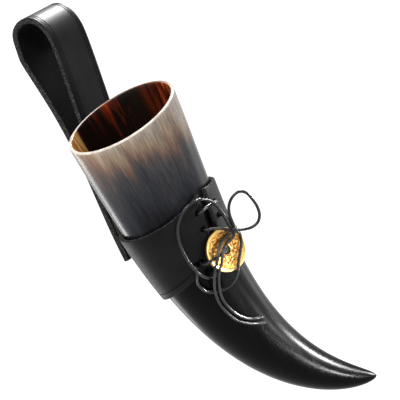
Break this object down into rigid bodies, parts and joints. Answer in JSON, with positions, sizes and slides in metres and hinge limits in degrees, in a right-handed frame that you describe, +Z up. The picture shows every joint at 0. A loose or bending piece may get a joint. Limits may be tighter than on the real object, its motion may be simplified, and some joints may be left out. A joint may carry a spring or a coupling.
{
  "type": "drinking horn in belt holder",
  "caption": "Curved hollow drinking horn held in a laced leather cuff with a folded strap that slips over a belt; the horn draws up out of the cuff.",
  "frame": {"origin": "where a belt bears on the inside of the strap's loop, at the middle of the strap's width", "axes": "+Z up, towards the top of the loop; X along the belt; +Y out of the back of the strap, towards the wearer; the horn's tip bends towards +X and -Y"},
  "size_m": [0.0927, 0.1282, 0.3034],
  "materials": {
    "horn": "polished horn, cream and grey at the mouth, black to the tip",
    "cuff_leather": "satin black leather",
    "strap_leather": "satin black leather with grooved edges",
    "rivet_steel": "dark steel",
    "medallion_brass": "hammered, polished rim",
    "lace_leather": "satin black round lace"
  },
  "bodies": {
    "holder": {"cuff": "cuff_leather", "belt_strap": "strap_leather", "rivet_upper": "rivet_steel", "rivet_lower": "rivet_steel", "lace_knot": "lace_leather", "lace_crossing": "lace_leather", "lace_strand_left": "lace_leather", "lace_strand_right": "lace_leather", "lace_strand_middle": "lace_leather", "bow_loop_left": "lace_leather", "bow_loop_right": "lace_leather", "lace_lower_loop": "lace_leather", "lace_tail_left": "lace_leather", "lace_tail_right": "lace_leather"},
    "horn": {"horn": "horn"},
    "medallion": {"medallion": "medallion_brass"}
  },
  "joints": [
    {"name": "horn_draw", "type": "hinge", "parent": "holder", "child": "horn", "pos_m": [0.15118, -0.23502, -0.14047], "axis": [0.682, 0.7314, 0], "range_deg": [0, 50]},
    {"name": "medallion_spin", "type": "hinge", "parent": "holder", "child": "medallion", "pos_m": [-0.04927, -0.09093, -0.15808], "axis": [-0.3226, -0.9387, 0.1219], "range_deg": [-90, 90]}
  ]
}
